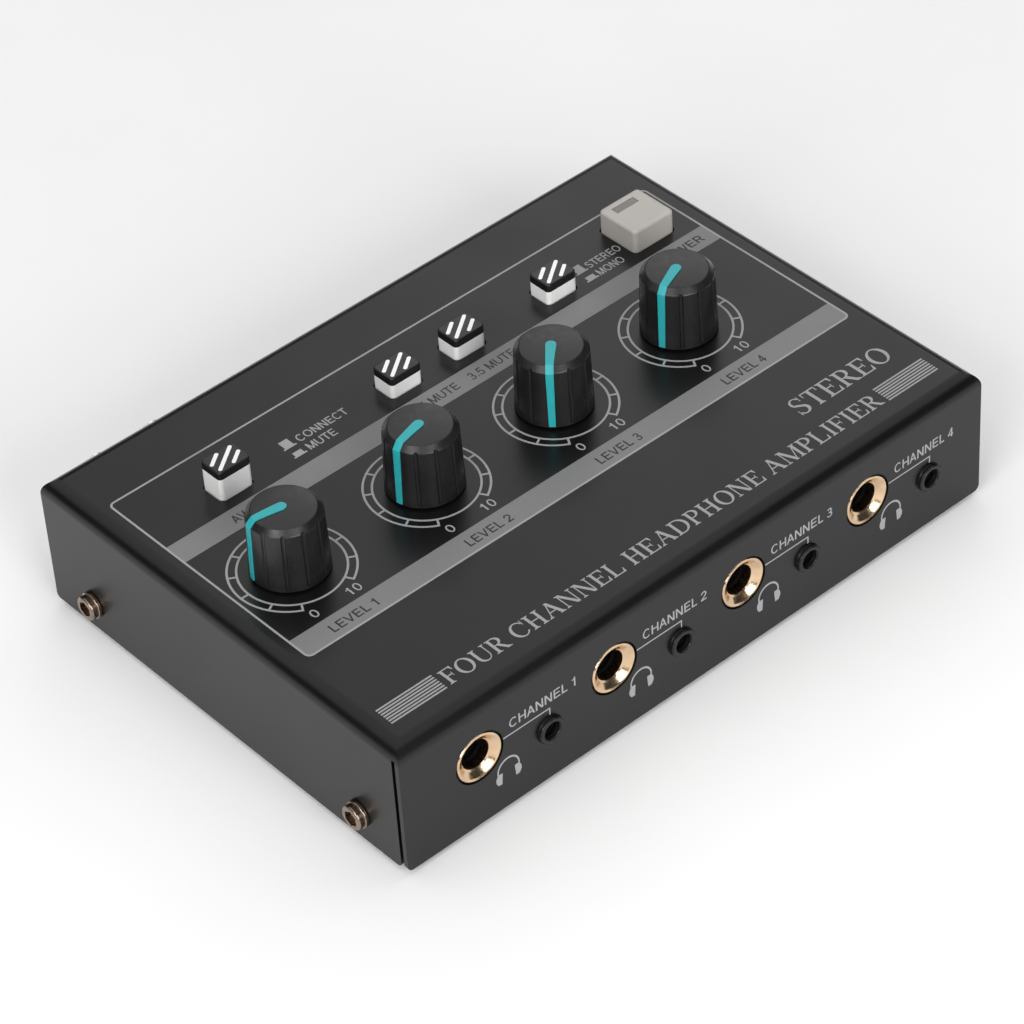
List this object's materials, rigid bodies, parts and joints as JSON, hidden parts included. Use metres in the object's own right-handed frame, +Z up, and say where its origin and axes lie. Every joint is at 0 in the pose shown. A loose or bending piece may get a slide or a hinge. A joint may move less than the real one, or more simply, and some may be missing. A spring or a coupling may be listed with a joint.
{
  "type": "headphone amplifier",
  "caption": "Desktop headphone amplifier: folded black steel case, level knobs with teal pointers, push buttons on top, phone sockets along the front and inputs behind.",
  "frame": {"origin": "bottom centre of the whole object's box, on the table under the feet", "axes": "+X to the right along the front wall, +Y from the front wall to the rear wall, +Z up"},
  "size_m": [0.1544, 0.1154, 0.0468],
  "materials": {
    "case_coat": "fine matte powder coat",
    "plate_steel": "matte coat",
    "screw_nickel": "bronze-toned plating",
    "foot_rubber": "matte",
    "knob_plastic": "soft matte",
    "pointer_plastic": "satin teal",
    "shaft_metal": "turned",
    "pot_metal": "pressed",
    "button_white": "satin",
    "button_black": "satin",
    "switch_plastic": "moulded",
    "plunger_plastic": "moulded",
    "power_grey": "fine matte",
    "window_smoke": "smoked",
    "socket_plastic": "moulded",
    "socket_gilt": "gilt",
    "av_metal": "plated",
    "board_green": "solder mask",
    "chip_epoxy": "moulded",
    "capacitor_sleeve": "sleeved"
  },
  "bodies": {
    "chassis": {"top_cover": "case_coat", "bottom_plate": "plate_steel", "case_screws": "screw_nickel", "rubber_feet": "foot_rubber", "pot_body_1": "pot_metal", "pot_body_2": "pot_metal", "pot_body_3": "pot_metal", "pot_body_4": "pot_metal", "switch_bodies": "switch_plastic", "power_switch_body": "switch_plastic", "phone_ring_1": "socket_gilt", "phone_jack_1": "socket_plastic", "mini_jack_1": "socket_plastic", "phone_ring_2": "socket_gilt", "phone_jack_2": "socket_plastic", "mini_jack_2": "socket_plastic", "phone_ring_3": "socket_gilt", "phone_jack_3": "socket_plastic", "mini_jack_3": "socket_plastic", "phone_ring_4": "socket_gilt", "phone_jack_4": "socket_plastic", "mini_jack_4": "socket_plastic", "line_ring": "socket_gilt", "line_jack": "socket_plastic", "line_mini_jack": "socket_plastic", "av_socket_body": "socket_plastic", "av_socket_shells": "av_metal", "dc_inlet": "socket_plastic", "main_board": "board_green", "board_standoffs": "pot_metal", "board_screws": "pot_metal", "amplifier_chips": "chip_epoxy", "filter_capacitors": "capacitor_sleeve"},
    "level_control_1": {"knob_1": "knob_plastic", "pointer_1": "pointer_plastic", "pot_shaft_1": "shaft_metal"},
    "level_control_2": {"knob_2": "knob_plastic", "pointer_2": "pointer_plastic", "pot_shaft_2": "shaft_metal"},
    "level_control_3": {"knob_3": "knob_plastic", "pointer_3": "pointer_plastic", "pot_shaft_3": "shaft_metal"},
    "level_control_4": {"knob_4": "knob_plastic", "pointer_4": "pointer_plastic", "pot_shaft_4": "shaft_metal"},
    "av_mute_button": {"button_base_1": "button_white", "button_lid_1": "button_black", "button_plunger_1": "plunger_plastic"},
    "phone_mute_button": {"button_base_2": "button_white", "button_lid_2": "button_black", "button_plunger_2": "plunger_plastic"},
    "mini_mute_button": {"button_base_3": "button_white", "button_lid_3": "button_black", "button_plunger_3": "plunger_plastic"},
    "mono_button": {"button_base_4": "button_white", "button_lid_4": "button_black", "button_plunger_4": "plunger_plastic"},
    "power_key": {"power_button": "power_grey", "power_window": "window_smoke", "power_plunger": "plunger_plastic"}
  },
  "joints": [
    {"name": "level_1", "type": "hinge", "parent": "chassis", "child": "level_control_1", "pos_m": [-0.0564, -0.00458, 0.0315], "axis": [0, 0, 1], "range_deg": [-228, 72]},
    {"name": "level_2", "type": "hinge", "parent": "chassis", "child": "level_control_2", "pos_m": [-0.0231, -0.00458, 0.0315], "axis": [0, 0, 1], "range_deg": [-252, 48]},
    {"name": "level_3", "type": "hinge", "parent": "chassis", "child": "level_control_3", "pos_m": [0.0102, -0.00458, 0.0315], "axis": [0, 0, 1], "range_deg": [-285, 15]},
    {"name": "level_4", "type": "hinge", "parent": "chassis", "child": "level_control_4", "pos_m": [0.0435, -0.00458, 0.0315], "axis": [0, 0, 1], "range_deg": [-262, 38]},
    {"name": "av_mute_button_press", "type": "slide", "parent": "chassis", "child": "av_mute_button", "axis": [0, 0, 1], "range_m": [-0.0024, 0], "stiffness_N_per_m": 400, "springref_m": 0.002},
    {"name": "phone_mute_button_press", "type": "slide", "parent": "chassis", "child": "phone_mute_button", "axis": [0, 0, 1], "range_m": [-0.0004, 0.002]},
    {"name": "mini_mute_button_press", "type": "slide", "parent": "chassis", "child": "mini_mute_button", "axis": [0, 0, 1], "range_m": [-0.0004, 0.002]},
    {"name": "mono_button_press", "type": "slide", "parent": "chassis", "child": "mono_button", "axis": [0, 0, 1], "range_m": [-0.0004, 0.002]},
    {"name": "power_press", "type": "slide", "parent": "chassis", "child": "power_key", "axis": [0, 0, 1], "range_m": [-0.0024, 0], "stiffness_N_per_m": 400, "springref_m": 0.002}
  ]
}
